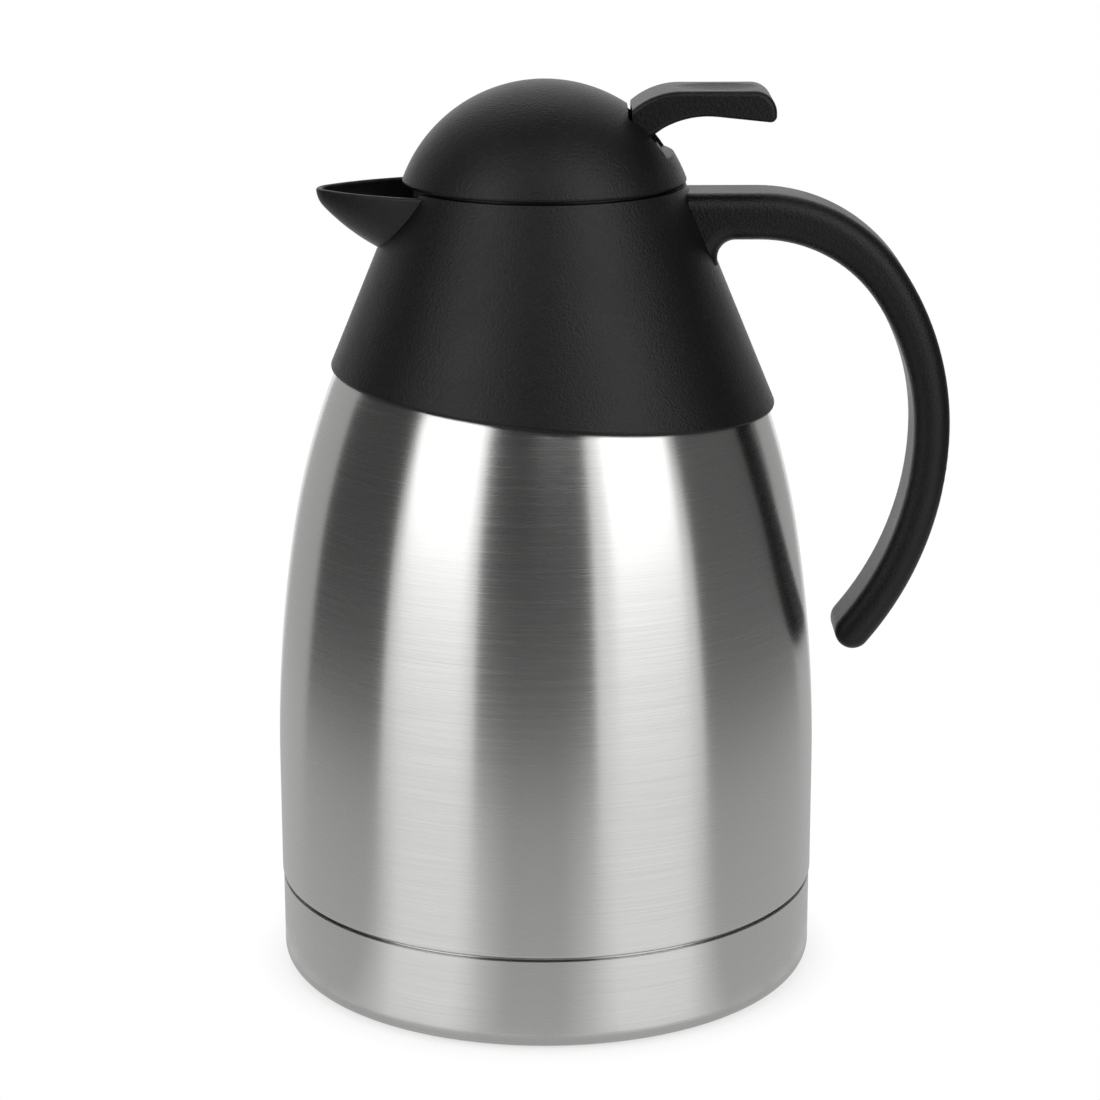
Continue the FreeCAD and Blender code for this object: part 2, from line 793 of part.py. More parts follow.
def make_handle():
    under = d.handle_top - d.handle_root_thick
    palm_x = d.handle_reach - d.handle_thick
    middle = d.handle_mid_height
    round_z = under - d.handle_root_round
    round_x = cone_radius(round_z) + d.handle_root_round / cosine(d.collar_slope)
    back_x, back_z, back_first, back_second = quarter_bend(
        d.handle_bend_start, d.handle_top, d.handle_reach, middle
    )
    palm_meet_x, palm_meet_z, palm_first, palm_second = quarter_bend(
        d.handle_bend_start, under, palm_x, middle
    )
    tail_x = d.handle_reach - d.handle_tail_curve
    tail_inner = d.handle_tail_curve - d.handle_thick
    tail_out = cosine(d.handle_tail_turn)
    tail_down = sine(d.handle_tail_turn)
    tip_x = tail_x + (d.handle_tail_curve - d.handle_thick / 2) * tail_out
    tip_z = middle - (d.handle_tail_curve - d.handle_thick / 2) * tail_down
    tip = d.handle_thick / 2
    buried = d.collar_top_radius - d.collar_wall
    outline = Outline(buried, d.handle_top)
    outline.line(buried, round_z - d.handle_root_round * sine(d.collar_slope))
    outline.line(
        round_x - d.handle_root_round * cosine(d.collar_slope),
        round_z - d.handle_root_round * sine(d.collar_slope),
    )
    outline.right(round_x - d.handle_root_round, round_z, d.handle_root_round)
    outline.right(round_x, under, d.handle_root_round)
    outline.line(d.handle_bend_start, under)
    outline.right(palm_meet_x, palm_meet_z, palm_first)
    outline.right(palm_x, middle, palm_second)
    outline.right(tail_x + tail_inner * tail_out, middle - tail_inner * tail_down, tail_inner)
    outline.left(tip_x - tip * tail_down, tip_z - tip * tail_out, tip)
    outline.left(
        tail_x + d.handle_tail_curve * tail_out, middle - d.handle_tail_curve * tail_down, tip
    )
    outline.left(d.handle_reach, middle, d.handle_tail_curve)
    outline.left(back_x, back_z, back_second)
    outline.left(d.handle_bend_start, d.handle_top, back_first)
    body = new_body("handle_bar")
    extrude(body, "bar", outline, d.handle_width)
    round_edges(body, "edges", d.handle_edge_round, level_edges(d.handle_top))
    cone_foot = round_z - 2 * d.handle_root_round
    cone = primitive(
        "Cone",
        "handle_seat",
        (ZERO, ZERO, cone_foot),
        Radius1=cone_radius(cone_foot) + d.joint_gap,
        Radius2=d.collar_top_radius + d.joint_gap,
        Height=d.collar_top - cone_foot,
    )
    keep("handle", boolean("Cut", "handle", body, cone))


# Stopper


def make_stopper_seal():
    outline = Outline(plug_radius + d.fit, seat_top)
    outline.line(plug_radius + d.fit + d.seal_width, seat_top)
    outline.line(plug_radius + d.fit + d.seal_width, shoulder_foot)
    outline.line(plug_radius + d.fit, shoulder_foot)
    body = new_body("stopper_seal")
    turn(body, "ring", outline)
    keep("stopper_seal", body)


def screw_places(radius):
    """Centres of the guide screws, spread evenly round the axis."""
    count = int(d.screw_count.value)
    for index in range(count):
        angle = ALL_ROUND * index / d.screw_count
        yield index, radius * cosine(angle), radius * sine(angle)


def make_stopper():
    shoulder = plug_radius + d.fit + d.seal_width
    rim = sphere_radius(dome_inner, rim_top) - d.fit
    outline = Outline(d.seat_radius, d.plug_foot)
    outline.line(plug_radius, d.plug_foot)
    outline.line(plug_radius, shoulder_foot)
    outline.line(shoulder, shoulder_foot)
    outline.line(shoulder, shoulder_top)
    outline.line(plug_radius, shoulder_top)
    outline.line(plug_radius, d.flange_foot)
    outline.line(rim, d.flange_foot)
    outline.line(rim, rim_top)
    outline.line(rim - d.flange_rim_wall, rim_top)
    outline.line(rim - d.flange_rim_wall, flange_top)
    outline.line(plug_bore, flange_top)
    outline.line(plug_bore, plug_floor_top)
    outline.line(d.seat_radius, plug_floor_top)
    body = new_body("stopper_plug")
    turn(body, "plug", outline)
    port_foot = shoulder_top
    half = d.port_width / 2
    port = Outline(-half, port_foot)
    port.line(half, port_foot)
    port.line(half, port_foot + d.port_height)
    port.line(-half, port_foot + d.port_height)
    extrude(body, "port", port, shoulder, kind="Pocket", plane="YZ_Plane", both_sides=False)
    pilots = []
    for index, x, y in screw_places(d.screw_circle):
        pilots.append(
            primitive(
                "Cylinder",
                f"pilot_{index}",
                (x, y, flange_top - d.screw_bite),
                Radius=d.screw_radius + d.running_fit,
                Height=d.screw_bite,
            )
        )
    holes = doc.addObject("Part::MultiFuse", "pilots")
    holes.Shapes = pilots
    keep("stopper", boolean("Cut", "stopper", body, holes))


def make_stem_guide():
    plate = sphere_radius(dome_inner, rim_top) - d.fit - d.flange_rim_wall - d.fit
    bore = d.stem_radius + d.running_fit
    outline = Outline(bore, d.bush_foot)
    outline.line(d.bush_radius, d.bush_foot)
    outline.line(d.bush_radius, d.flange_foot)
    outline.line(plug_bore - d.fit, d.flange_foot)
    outline.line(plug_bore - d.fit, flange_top)
    outline.line(plate, flange_top)
    outline.line(plate, guide_top)
    outline.line(d.bush_radius, guide_top)
    outline.line(d.bush_radius, d.bush_top)
    outline.line(bore, d.bush_top)
    body = new_body("guide_plate")
    turn(body, "plate", outline)
    holes = []
    for index, x, y in screw_places(d.screw_circle):
        holes.append(
            primitive(
                "Cylinder",
                f"guide_hole_{index}",
                (x, y, flange_top),
                Radius=d.screw_radius + d.fit,
                Height=d.guide_plate,
            )
        )
    cutter = doc.addObject("Part::MultiFuse", "guide_holes")
    cutter.Shapes = holes
    keep("stem_guide", boolean("Cut", "stem_guide", body, cutter))


def make_guide_screws():
    solids = []
    for index, x, y in screw_places(d.screw_circle):
        foot = flange_top - d.screw_bite
        shank = primitive(
            "Cylinder",
            f"screw_shank_{index}",
            (x, y, foot),
            Radius=d.screw_radius,
            Height=guide_top - foot,
        )
        head = primitive(
            "Cylinder",
            f"screw_head_{index}",
            (x, y, guide_top),
            Radius=d.screw_head_radius,
            Height=d.screw_head_height,
        )
        solids.append(boolean("Fuse", f"screw_{index}", head, shank))
    group = doc.addObject("Part::Compound", "guide_screws")
    group.Links = solids
    keep("guide_screws", group)


# Valve


def make_valve_stem():
    outline = Outline(ZERO, d.stem_foot)
    outline.line(d.stem_radius, d.stem_foot)
    outline.line(d.stem_radius, disc_foot)
    outline.line(d.valve_radius, disc_foot)
    outline.line(d.valve_radius, disc_top)
    outline.line(d.stem_radius, disc_top)
    outline.line(d.stem_radius, head_foot + d.head_height - d.head_lid)
    outline.line(ZERO, head_foot + d.head_height - d.head_lid)
    body = new_body("valve_stem")
    turn(body, "rod", outline)
    keep("valve_stem", body)


def make_valve_gasket():
    bore = d.stem_radius + d.running_fit
    outline = Outline(bore, plug_floor_top)
    outline.line(d.valve_radius, plug_floor_top)
    outline.line(d.valve_radius, disc_foot)
    outline.line(bore, disc_foot)
    body = new_body("valve_gasket")
    turn(body, "ring", outline)
    keep("valve_gasket", body)


def make_stem_head():
    bore = d.stem_radius + d.running_fit
    top = head_foot + d.head_height
    outline = Outline(ZERO, top - d.head_lid)
    outline.line(bore, top - d.head_lid)
    outline.line(bore, head_foot)
    outline.line(d.head_radius, head_foot)
    outline.line(d.head_radius, top)
    outline.line(ZERO, top)
    body = new_body("stem_head")
    turn(body, "cap", outline)
    keep("stem_head", body)


def arc_between(start, corner, end):
    """The arc from start to end whose end tangents meet at the corner."""
    middle = (start + end) / 2
    half = (end - start).Length / 2
    arm = (corner - start).Length
    lift = half * (arm - half) / (corner - middle).Length ** 2
    return Part.Arc(start, middle + (corner - middle) * lift, end).toShape()


def biarc(start, out, end, back):
    """Two tangent arcs from a start and its heading to an end and its heading."""
    chord = end - start
    reach = chord.dot(out + back)
    spread = 2 * (1 - out.dot(back))
    arm = (math.sqrt(reach**2 + spread * chord.dot(chord)) - reach) / spread
    first = start + out * arm
    second = end - back * arm
    meet = (first + second) / 2
    return [arc_between(start, first, meet), arc_between(meet, second, end)]


def make_valve_spring():
    wire = d.spring_wire.value
    coil = d.spring_radius.value
    turns = int(d.spring_turns.value)
    foot = disc_top.value + d.fit.value + wire / 2
    top = d.bush_foot.value - d.fit.value - wire / 2
    pitch = (top - foot) / turns
    rise = pitch / (2 * math.pi)

    def point(angle):
        return Vector(coil * math.cos(angle), coil * math.sin(angle), foot + rise * angle)

    def heading(angle):
        return Vector(-coil * math.sin(angle), coil * math.cos(angle), rise).normalize()

    quarter = math.pi / 2
    edges = []
    for step in range(turns * 4):
        start = step * quarter
        end = start + quarter
        edges += biarc(point(start), heading(start), point(end), heading(end))
    pipe = Part.BRepOffsetAPI.MakePipeShell(Part.Wire(edges))
    pipe.add(Part.Wire([Part.Circle(point(0), heading(0), wire / 2).toShape()]))
    pipe.build()
    pipe.makeSolid()
    spring = doc.addObject("Part::Feature", "valve_spring")
    spring.Shape = pipe.shape()
    spring.Placement = FreeCAD.Placement()
    turn_samples = 16
    samples = [(step, point(step * 2 * math.pi / turn_samples)) for step in range(turns * turn_samples + 1)]
    gaps = [
        (near - far).Length - wire
        for index, near in samples
        for other, far in samples
        if other - index > turn_samples / 2
    ]
    print(f"valve_spring: least gap between turns {min(gaps):.2f} mm")
    keep("valve_spring", spring)


# Lid dome and lever


def make_lid_dome():
    wall_middle = d.dome_radius - d.dome_wall / 2
    recess = d.dome_radius - d.slot_depth
    floor_inner = recess - d.slot_floor
    floor_foot = d.slot_foot - d.slot_floor
    floor_top = d.slot_floor_top
    body = new_body("dome_shell")
    shell = Outline(sphere_radius(d.dome_radius, dome_foot), dome_foot)
    shell.left(ZERO, d.dome_top, d.dome_radius)
    shell.line(ZERO, d.dome_top - d.dome_wall)
    shell.right(sphere_radius(dome_inner, dome_foot), dome_foot, dome_inner)
    turn(body, "shell", shell)
    floor = Outline(sphere_radius(floor_inner, floor_top), floor_top)
    floor.right(sphere_radius(floor_inner, floor_foot), floor_foot, floor_inner)
    floor.line(sphere_radius(wall_middle, floor_foot), floor_foot)
    floor.left(sphere_radius(wall_middle, floor_top), floor_top, wall_middle)
    half_width = slot_width / 2 + d.slot_floor
    spread = 2 * arcsine(half_width / sphere_radius(floor_inner, floor_top))
    turn(body, "slot_floor", floor, angle=spread)
    outside = d.dome_radius + d.dome_wall
    slot = Outline(d.slot_end, d.dome_top)
    slot.line(d.slot_end, floor_top)
    slot.line(sphere_radius(recess, floor_top), floor_top)
    slot.right(sphere_radius(recess, d.slot_foot), d.slot_foot, recess)
    slot.line(outside, d.slot_foot)
    slot.line(outside, d.dome_top)
    extrude(body, "slot", slot, slot_width, kind="Pocket")
    rim = sphere_radius(d.dome_radius, dome_foot).value
    round_edges(
        body,
        "rim",
        d.dome_rim_round,
        lambda edge: abs(edge.BoundBox.ZMax - dome_foot.value) < LEVEL_WITHIN
        and edge.BoundBox.XMax > rim - LEVEL_WITHIN,
    )
    bar = crosswise("ear_bar", d.pivot_reach, d.pivot_height, d.ear_radius, 2 * d.dome_radius)
    space = crosswise(
        "ear_space",
        d.pivot_reach,
        d.pivot_height,
        d.ear_radius + d.fit,
        d.lever_width + 2 * d.fit,
    )
    inside = primitive("Sphere", "ear_limit", (ZERO, ZERO, dome_centre), Radius=wall_middle)
    ears = boolean("Common", "ears", boolean("Cut", "ear_pair", bar, space), inside)
    joined = boolean("Fuse", "dome_with_ears", body, ears)
    bore = crosswise(
        "ear_bore",
        d.pivot_reach,
        d.pivot_height,
        d.pin_radius + d.running_fit,
        d.pin_length + 2 * d.fit,
    )
    keep("lid_dome", boolean("Cut", "lid_dome", joined, bore))


def make_lever_pin():
    keep("lever_pin", crosswise("lever_pin", d.pivot_reach, d.pivot_height, d.pin_radius, d.pin_length))


def tongue_outline():
    """Side view of the lever: crest, nose, raked underside, and the hub it turns on."""
    root_z = d.lever_top - d.lever_root_thick
    root_x = d.slot_end + d.lever_root_gap
    lip = d.lever_top - d.lever_lip
    slope_x = d.lever_reach - d.lever_corner - d.lever_corner * sine(d.lever_rake)
    slope_z = lip + d.lever_corner - d.lever_corner * cosine(d.lever_rake)
    arch_z = slope_z + (slope_x - d.lever_arch) * tangent(d.lever_rake)
    arch_run = d.lever_arch - d.lever_root
    arch_drop = arch_z - root_z
    arch_rise = arch_run * sine(d.lever_rake) + arch_drop * cosine(d.lever_rake)
    outline = Outline(root_x, d.lever_root_top)
    outline.right(
        d.lever_crest,
        d.lever_top,
        tangent_radius(d.lever_crest - root_x, d.lever_top - d.lever_root_top),
    )
    outline.line(d.lever_reach - d.lever_nose, d.lever_top)
    outline.right(d.lever_reach, d.lever_top - d.lever_nose, d.lever_nose)
    outline.line(d.lever_reach, lip + d.lever_corner)
    outline.right(slope_x, slope_z, d.lever_corner)
    outline.line(d.lever_arch, arch_z)
    outline.left(
        d.lever_root,
        root_z,
        (arch_run * arch_run + arch_drop * arch_drop) / (2 * arch_rise),
    )
    hub_meet_x = d.pivot_reach + d.hub_radius * cosine(d.hub_meet)
    hub_meet_z = d.pivot_height + d.hub_radius * sine(d.hub_meet)
    outline.line(hub_meet_x, hub_meet_z)
    outline.right(d.pivot_reach + d.hub_radius, d.pivot_height, d.hub_radius)
    outline.right(d.pivot_reach, d.pivot_height - d.hub_radius, d.hub_radius)
    outline.right(d.pivot_reach - d.hub_radius, d.pivot_height, d.hub_radius)
    outline.line(root_x, d.pivot_height + 2 * d.hub_radius - d.lever_root_gap)
    return outline


def dish_outline():
    """Long section of the thumb dish, closed above the lever's top."""
    half = d.dish_length / 2
    start = d.dish_place - half
    end = d.dish_place + half
    outline = Outline(start, d.lever_top)
    outline.left(end, d.lever_top, tangent_radius(half, d.dish_depth))
    outline.line(end, d.lever_top + d.dish_depth)
    outline.line(start, d.lever_top + d.dish_depth)
    return outline


def fork_outline():
    """Side view of the fork that reaches under the stem's head."""
    outline = Outline(d.pivot_reach, d.pivot_height + d.hub_radius)
    outline.line(ZERO, fork_height + d.fork_nose)
    outline.left(-d.fork_nose, fork_height, d.fork_nose)
    outline.left(ZERO, fork_height - d.fork_nose, d.fork_nose)
    outline.line(d.pivot_reach, d.pivot_height - d.hub_radius)
    return outline


def make_lever():
    slot_half = d.stem_radius + d.fork_gap
    gap_start = -2 * d.fork_nose
    gap_end = 2 * slot_half
    gap = Outline(gap_start, d.pivot_height)
    gap.line(gap_end, d.pivot_height)
    gap.line(gap_end, d.lever_top)
    gap.line(gap_start, d.lever_top)
    dish_axis = d.lever_top - d.dish_depth + tangent_radius(d.dish_width / 2, d.dish_depth)
    bore = circle(d.pivot_reach, d.pivot_height, d.pin_radius + d.running_fit)
    body = new_body("lever")
    extrude(body, "tongue", tongue_outline(), d.lever_width)
    extrude(body, "fork", fork_outline(), 2 * (slot_half + d.fork_arm))
    extrude(body, "fork_gap", gap, 2 * slot_half, kind="Pocket")
    extrude(body, "bore", bore, d.lever_width + 2 * d.fit, kind="Pocket")
    turn(body, "dish", dish_outline(), kind="Groove", axis_height=dish_axis)
    round_edges(body, "edges", d.lever_edge_round, level_edges(d.lever_top))
    keep("lever", body)


make_outer_shell()
make_inner_liner()
make_liner_bottom()
make_neck_ring()
make_vacuum_base()
make_vacuum_plug()
make_getter()
make_base_cup()
make_collar()
make_neck_gasket()
make_funnel()
make_handle()
make_stopper_seal()
make_stopper()
make_stem_guide()
make_guide_screws()
make_valve_stem()
make_valve_gasket()
make_stem_head()
make_valve_spring()
make_lid_dome()
make_lever_pin()
make_lever()
doc.recompute()

faults = [item.Name for item in doc.Objects if {"Invalid", "Error"} & set(item.State)]
faults += [name for name, item in pieces.items() if item.Shape.isNull() or not item.Shape.isValid()]
if faults:
    raise RuntimeError(f"not built: {faults}")

os.makedirs("parts", exist_ok=True)
for name, item in pieces.items():
    item.Shape.exportStep(f"parts/{name}.step")
    print(f"{name}: {len(item.Shape.Solids)} solid, {item.Shape.Volume:.0f} mm3")
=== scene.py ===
import json
import math

import bmesh
import bpy
from mathutils import Matrix, Vector


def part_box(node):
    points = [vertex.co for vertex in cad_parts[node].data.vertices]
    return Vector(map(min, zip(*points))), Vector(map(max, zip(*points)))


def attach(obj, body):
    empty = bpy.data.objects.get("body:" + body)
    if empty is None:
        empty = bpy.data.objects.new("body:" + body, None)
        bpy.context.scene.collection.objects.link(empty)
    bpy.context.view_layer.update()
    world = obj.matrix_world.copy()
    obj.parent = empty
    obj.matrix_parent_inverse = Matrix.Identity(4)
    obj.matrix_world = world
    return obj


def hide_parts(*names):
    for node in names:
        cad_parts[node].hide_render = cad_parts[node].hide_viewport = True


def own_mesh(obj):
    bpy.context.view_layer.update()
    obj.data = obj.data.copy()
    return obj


# Looks of the thermal jug, in metres in the model's own frame: Z up from the table, handle towards +X.
# The camera stands on the -Y side. An azimuth is in degrees from there towards the handle.

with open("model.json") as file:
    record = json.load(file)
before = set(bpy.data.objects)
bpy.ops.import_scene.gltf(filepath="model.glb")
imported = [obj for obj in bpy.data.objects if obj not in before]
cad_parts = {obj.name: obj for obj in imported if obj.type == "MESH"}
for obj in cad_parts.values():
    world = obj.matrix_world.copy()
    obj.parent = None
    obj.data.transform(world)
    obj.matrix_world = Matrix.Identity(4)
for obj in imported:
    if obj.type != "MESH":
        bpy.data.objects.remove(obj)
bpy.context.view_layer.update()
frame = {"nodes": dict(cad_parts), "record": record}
nodes = frame["nodes"]

# Camera, as the photograph was taken, with its yaw and roll in radians
CAMERA_DISTANCE = 0.8022
CAMERA_HEIGHT = 0.3295
CAMERA_PITCH = math.radians(15.294)
CAMERA_YAW = -0.00148
CAMERA_ROLL = -0.00236
FOCAL_PIXELS = 3200
FRAME_PIXELS = 1100
SENSOR_MM = 36

# Backdrop and floor
WHITE = (1, 1, 1, 1)
AMBIENT = 0.8
FLOOR_SIZE = 12
FLOOR_TONE = (0.93, 0.93, 0.93, 1)
FLOOR_NEAR = 0.05
FLOOR_FAR = 0.078

# Lamps, with their power in watts
LAMP_AIM = Vector((0, 0, 0.12))
LEFT_LAMP_AZIMUTH = -50
RIGHT_LAMP_AZIMUTH = 46
SIDE_LAMP_DISTANCE = 1.1
SIDE_LAMP_LEVEL = 0.72
SIDE_LAMP_WIDTH = 0.76
SIDE_LAMP_HEIGHT = 1.1
SIDE_LAMP_POWER = 3.8
TOP_LAMP_PLACE = Vector((-0.1, 0.1, 1.3))
TOP_LAMP_SIZE = 0.9
TOP_LAMP_POWER = 2.5

# Screens that are seen only in reflections
SCREEN_DISTANCE = 0.36
SCREEN_HEIGHT = 0.9
SCREEN_STEPS = 24
CARD_START = 0.075
CARD_HEIGHT = 0.001
CARD_TONE = 0.58
CARD_FADE = 14
CANOPY_TONE = 0.03
# Rim ring: a glowing grey ring that paints a darker reflection along the base's lower edge
RIM_SIDES = (-180, 180)
RIM_START = 0.0676
RIM_END = 0.0745
RIM_TONE = 0.55
PANEL_SIDES = (-5, 60)
PANEL_DISTANCE = 0.34
PANEL_FOOT = 0.5
PANEL_TOP = 0.76
PANEL_TONE = 2.4

# Flags: the azimuths of the screen's sides and of its card's near sides, the screen's tone, the card's fades
FLAGS = {
    "flag_front": ((-27, 19), (-17, 10), 0.06, (CARD_FADE, CARD_FADE)),
    "flag_left": ((-112, -66), (-100, -46), 0.07, (0, CARD_FADE)),
    "flag_left_back": ((-150, -112), (-145, -100), 0.5, (0, 0)),
    "flag_right": ((63.5, 125), (40, 115), 0.13, (CARD_FADE, 0)),
    "flag_right_back": ((125, 150), (115, 145), 0.45, (0, 0)),
}

# Steel barrel and base cup, as the model draws them, with turns in degrees
BARREL_RADIUS = 0.07
BELLY_START = 0.0557
BELLY_CURVE = 0.38
BELLY_TURN = 9.3
SHOULDER_CURVE = 0.203
SHOULDER_TURN = 10.7
CROWN_CURVE = 0.045
CROWN_TURN = 40
SHELL_WALL = 0.0006
SHELL_FOOT = 0.0246
SHELL_HEM = 0.0012
SPIGOT_RADIUS = 0.06875
SPIGOT_FOOT = 0.008
BASE_RADIUS = 0.06975
BASE_HEIGHT = 0.024
BASE_WALL = 0.0008
BASE_ROUND = 0.005
FOOT_INNER = 0.055
FOOT_RECESS = 0.0018

# Directions in a half section, in degrees
OUTWARD = 0
UPWARD = 90
DOWNWARD = -90
QUARTER_TURN = 90

# Fineness of the turned pieces
LATHE_STEPS = 256
HEM_STEPS = 10
BEND_STEPS = 14
ROUND_STEPS = 12
STEEL_SHARP_ANGLE = 40
MERGE_WITHIN = 1e-7

# Valve spring
SPRING_WIRE = 0.0011
SPRING_RADIUS = 0.0064
SPRING_TURNS = 6
SPRING_SIDES = 12
SPRING_STEPS_PER_TURN = 40
SPRING_SHARP_ANGLE = 60


class Shader:
    """A node material under construction."""

    # Sockets of a colour mix go by number, because numbers and vectors have sockets of the same names
    MIX_SHARE = 0
    MIX_DARK = 6
    MIX_LIGHT = 7
    MIX_RESULT = 2

    def __init__(self, name):
        self.material = bpy.data.materials.new(name)
        self.material.use_nodes = True
        self.tree = self.material.node_tree
        self.surface = self.tree.nodes["Principled BSDF"]

    def add(self, kind, sockets, **settings):
        """Add a node and fill its sockets, each with a value or with another node's output."""
        node = self.tree.nodes.new(f"ShaderNode{kind}")
        for key, value in settings.items():
            setattr(node, key, value)
        self.fill(node, sockets)
        return node

    def fill(self, node, sockets):
        """Link the outputs and set the values of a node's sockets."""
        for key, value in sockets.items():
            if isinstance(value, bpy.types.NodeSocket):
                self.tree.links.new(value, node.inputs[key])
            else:
                node.inputs[key].default_value = value

    def place(self, scale):
        """Object coordinates, stretched along each axis."""
        coordinates = self.add("TexCoord", {})
        mapping = self.add("Mapping", {"Vector": coordinates.outputs["Object"], "Scale": scale})
        return mapping.outputs["Vector"]

    def noise(self, scale, detail=2.0, roughness=0.5):
        """Cloudy noise whose grain along each axis is one over the scale, in metres."""
        sockets = {"Vector": self.place(scale), "Scale": 1.0, "Detail": detail, "Roughness": roughness}
        return self.add("TexNoise", sockets).outputs["Fac"]

    def spread(self, value, low, high, start=0.25, end=0.75):
        """Stretch a value over a range."""
        sockets = {"Value": value, "From Min": start, "From Max": end, "To Min": low, "To Max": high}
        return self.add("MapRange", sockets).outputs["Result"]

    def mix(self, first, second, share):
        """A number between two others."""
        return self.add("Mix", {"Factor": share, "A": first, "B": second}).outputs["Result"]

    def tint(self, value, dark, light):
        """A colour between two others, by a value around a half."""
        share = self.spread(value, 0.0, 1.0)
        sockets = {self.MIX_SHARE: share, self.MIX_DARK: (*dark, 1), self.MIX_LIGHT: (*light, 1)}
        return self.add("Mix", sockets, data_type="RGBA").outputs[self.MIX_RESULT]

    def bump(self, height, distance, strength=1.0):
        """A normal that rises and falls with a height."""
        sockets = {"Height": height, "Distance": distance, "Strength": strength}
        return self.add("Bump", sockets).outputs["Normal"]

    def glow(self, strength):
        """A white surface that shines by itself."""
        return self.add("Emission", {"Color": WHITE, "Strength": strength}).outputs["Emission"]

    def overlay(self, share, under, over):
        """A share of one surface over another."""
        return self.add("MixShader", {0: share, 1: under, 2: over}).outputs["Shader"]

    def finish(self, **sockets):
        """Fill the surface's sockets, named with underscores for spaces."""
        self.fill(self.surface, {key.replace("_", " "): value for key, value in sockets.items()})
        return self.material

    def use(self, surface):
        """Let another surface take the place of the first."""
        self.tree.links.new(surface, self.tree.nodes["Material Output"].inputs["Surface"])
        return self.material


def brushed_steel():
    """Satin steel brushed round the flask's axis, which draws reflections out into upright bands."""
    shader = Shader("brushed_steel")
    coarse = shader.noise((14, 14, 3200))
    fine = shader.noise((40, 40, 9000))
    lines = shader.mix(coarse, fine, share=0.75)
    tangent = shader.add("Tangent", {}, direction_type="RADIAL", axis="Z").outputs["Tangent"]
    return shader.finish(
        Base_Color=shader.tint(lines, (0.53, 0.53, 0.52), (0.63, 0.63, 0.62)),
        Metallic=1.0,
        Roughness=shader.spread(lines, 0.22, 0.29),
        Anisotropic=0.94,
        Anisotropic_Rotation=0.25,
        Tangent=tangent,
        Normal=shader.bump(lines, distance=0.000003, strength=0.2),
    )


def plain_steel():
    """Drawn steel of the hidden pieces, with a faint haze."""
    shader = Shader("plain_steel")
    haze = shader.noise((180, 180, 180), detail=4)
    return shader.finish(
        Base_Color=shader.tint(haze, (0.48, 0.48, 0.47), (0.58, 0.58, 0.57)),
        Metallic=1.0,
        Roughness=shader.spread(haze, 0.28, 0.4),
    )


def black_plastic():
    """Matte black moulding with a fine spark-eroded grain."""
    shader = Shader("black_plastic")
    grain = shader.noise((1700, 1700, 1700), detail=3, roughness=0.6)
    patches = shader.noise((60, 60, 60))
    return shader.finish(
        Base_Color=shader.tint(grain, (0.001, 0.001, 0.001), (0.004, 0.004, 0.0042)),
        Roughness=shader.spread(patches, 0.34, 0.4),
        Specular_IOR_Level=0.3,
        Normal=shader.bump(grain, distance=0.0002, strength=0.9),
    )


def inner_plastic():
    """Smooth black moulding of the stopper and the pieces inside it."""
    shader = Shader("inner_plastic")
    flow = shader.noise((140, 140, 60), detail=3)
    return shader.finish(
        Base_Color=shader.tint(flow, (0.012, 0.012, 0.0125), (0.02, 0.02, 0.021)),
        Roughness=shader.spread(flow, 0.3, 0.4),
    )


def silicone():
    """Milky grey sealing rubber."""
    shader = Shader("silicone")
    cloud = shader.noise((220, 220, 220), detail=3)
    return shader.finish(
        Base_Color=shader.tint(cloud, (0.5, 0.49, 0.47), (0.6, 0.59, 0.57)),
        Roughness=shader.spread(cloud, 0.45, 0.6),
    )


def spring_steel():
    """Bright wire with faint drawing marks."""
    shader = Shader("spring_steel")
    marks = shader.noise((900, 900, 900), detail=3)
    return shader.finish(
        Base_Color=shader.tint(marks, (0.5, 0.5, 0.5), (0.66, 0.66, 0.66)),
        Metallic=1.0,
        Roughness=shader.spread(marks, 0.18, 0.3),
    )


def solder_glass():
    """Dark fused bead."""
    shader = Shader("solder_glass")
    swirl = shader.noise((500, 500, 500), detail=3)
    return shader.finish(
        Base_Color=shader.tint(swirl, (0.1, 0.07, 0.05), (0.24, 0.18, 0.13)),
        Roughness=shader.spread(swirl, 0.08, 0.2),
    )


def getter_alloy():
    """Grey sintered pellet."""
    shader = Shader("getter_alloy")
    grit = shader.noise((1800, 1800, 1800), detail=4)
    return shader.finish(
        Base_Color=shader.tint(grit, (0.14, 0.14, 0.15), (0.26, 0.26, 0.27)),
        Metallic=0.6,
        Roughness=shader.spread(grit, 0.55, 0.75),
        Normal=shader.bump(grit, distance=0.0002),
    )


FINISHES = {
    "steel_brushed": brushed_steel(),
    "steel_plain": plain_steel(),
    "black_plastic": black_plastic(),
    "inner_plastic": inner_plastic(),
    "silicone": silicone(),
    "spring_steel": spring_steel(),
    "solder_glass": solder_glass(),
    "getter_alloy": getter_alloy(),
}


def dress_nodes():
    """Give each CAD node the finish of its slot in the record."""
    for subpart in frame["record"]["subparts"]:
        material = FINISHES[subpart["material_slot"]]
        for slot in nodes[subpart["node"]].material_slots:
            slot.material = material


def add_mesh(name, corners, faces, material):
    """Add an object with a mesh of its own."""
    mesh = bpy.data.meshes.new(name)
    mesh.from_pydata(corners, [], faces)
    mesh.materials.append(material)
    item = bpy.data.objects.new(name, mesh)
    bpy.context.scene.collection.objects.link(item)
    return item


def smooth(item, angle):
    """Merge what meets on the axis, and shade smoothly below an angle in degrees."""
    shape = bmesh.new()
    shape.from_mesh(item.data)
    bmesh.ops.remove_doubles(shape, verts=shape.verts, dist=MERGE_WITHIN)
    bmesh.ops.recalc_face_normals(shape, faces=shape.faces)
    shape.to_mesh(item.data)
    shape.free()
    item.data.shade_smooth()
    item.data.set_sharp_from_angle(angle=math.radians(angle))


def settle(piece, node, body):
    """Put a piece in a node's place."""
    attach(piece, body)
    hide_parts(node)


